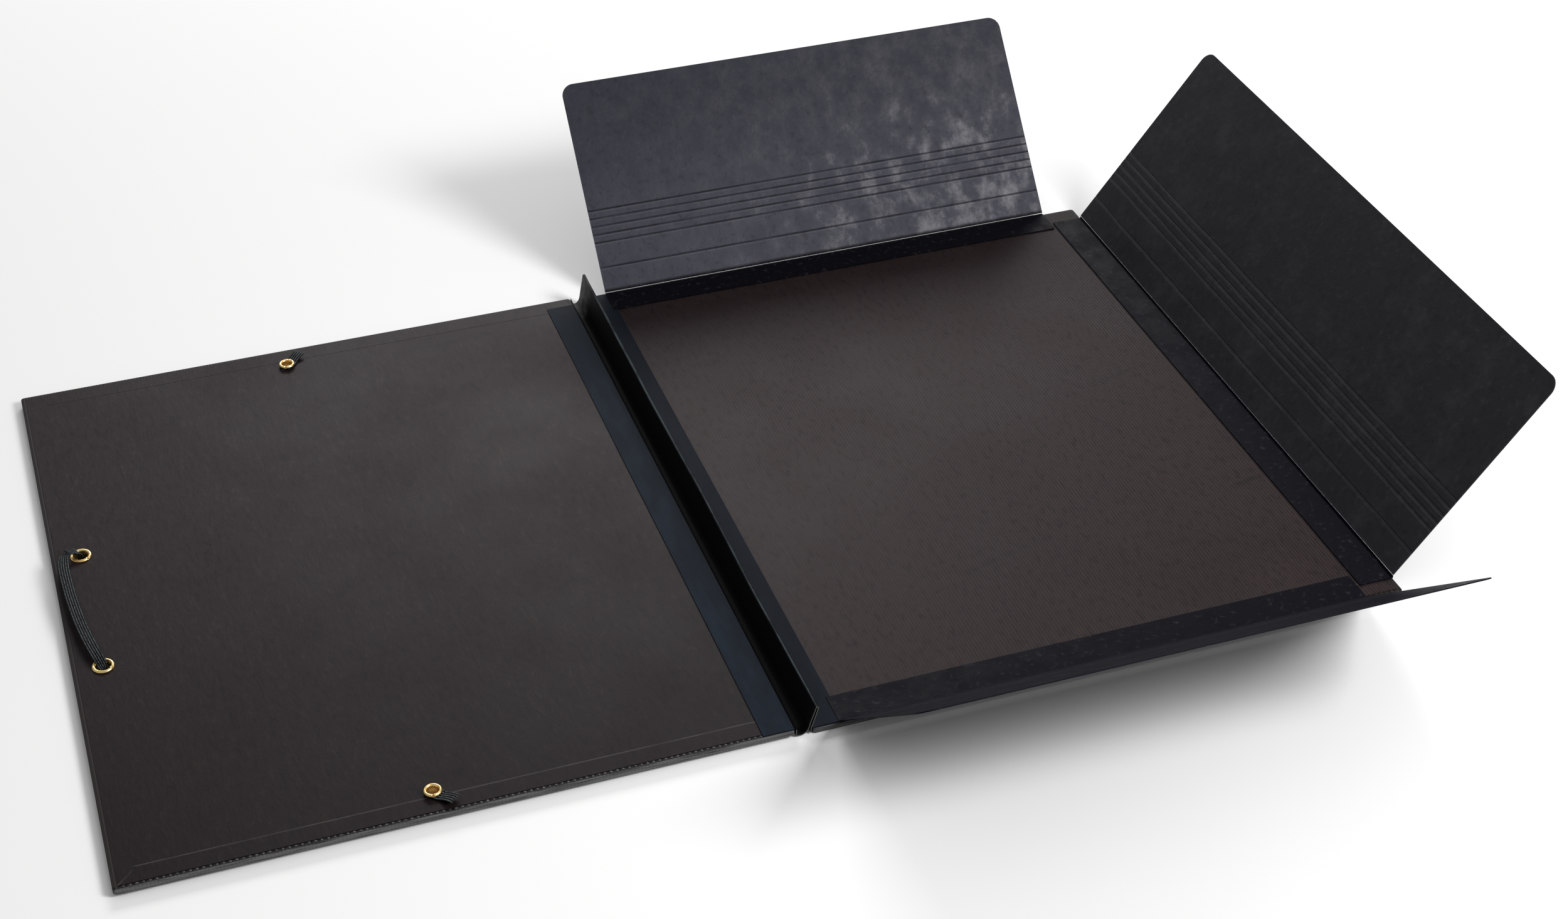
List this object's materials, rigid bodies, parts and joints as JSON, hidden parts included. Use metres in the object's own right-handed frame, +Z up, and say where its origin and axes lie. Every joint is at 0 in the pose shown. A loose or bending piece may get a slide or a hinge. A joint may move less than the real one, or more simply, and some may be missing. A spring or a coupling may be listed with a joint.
{
  "type": "elastic drawing folder",
  "caption": "Open drawing folder with ribbed covers, a pleated cloth spine, scored folding flaps, brass eyelets and a flat elastic band.",
  "frame": {"origin": "middle of the back cover's underside", "axes": "+X from the front cover to the back cover, +Y from the near edge to the far edge, +Z up, with the folder open and its inside up"},
  "size_m": [0.5908, 0.4763, 0.0868],
  "materials": {
    "greyboard": "uncoated grey board",
    "covering_paper": "ribbed brown-black covering paper, worn grey at its near edge",
    "ribbed_lining": "finely ribbed brown-black paper, matt",
    "spine_cloth": "dark navy book cloth",
    "pressboard": "mottled blue-black glazed pressboard",
    "brass": "bright brass with a split rim",
    "elastic": "ribbed black woven elastic braid"
  },
  "bodies": {
    "back_cover": {"back_board": "greyboard", "back_covering": "covering_paper", "back_lining": "ribbed_lining", "spine_cloth_back": "spine_cloth", "far_flap_strip": "pressboard", "near_flap_strip": "pressboard", "right_flap_strip": "pressboard"},
    "pleat": {"spine_pleat": "spine_cloth"},
    "front_cover": {"front_board": "greyboard", "front_covering": "covering_paper", "front_lining": "ribbed_lining", "spine_cloth_front": "spine_cloth", "eyelet_far": "brass", "eyelet_near": "brass", "eyelet_upper_side": "brass", "eyelet_lower_side": "brass", "elastic": "elastic"},
    "far_flap": {"far_flap": "pressboard"},
    "near_flap": {"near_flap": "pressboard"},
    "right_flap": {"right_flap": "pressboard"}
  },
  "joints": [
    {"name": "pleat_fold", "type": "hinge", "parent": "back_cover", "child": "pleat", "pos_m": [-0.13, 0, 0.0027], "axis": [0, 1, 0], "range_deg": [0, 72]},
    {"name": "cover_fold", "type": "hinge", "parent": "pleat", "child": "front_cover", "pos_m": [-0.137, 0, 0.0041], "axis": [0, 1, 0], "range_deg": [0, 108]},
    {"name": "far_flap_fold", "type": "hinge", "parent": "back_cover", "child": "far_flap", "pos_m": [0, 0.165, 0.00355], "axis": [1, 0, 0], "range_deg": [-49, 131]},
    {"name": "near_flap_fold", "type": "hinge", "parent": "back_cover", "child": "near_flap", "pos_m": [0, -0.165, 0.00355], "axis": [-1, 0, 0], "range_deg": [-41.6, 138.4]},
    {"name": "right_flap_fold", "type": "hinge", "parent": "back_cover", "child": "right_flap", "pos_m": [0.13, 0, 0.00435], "axis": [0, -1, 0], "range_deg": [-52.3, 127.7]}
  ],
  "couplings": [
    {"joint": "pleat_fold", "follows": "cover_fold", "ratio": 0.66667}
  ]
}
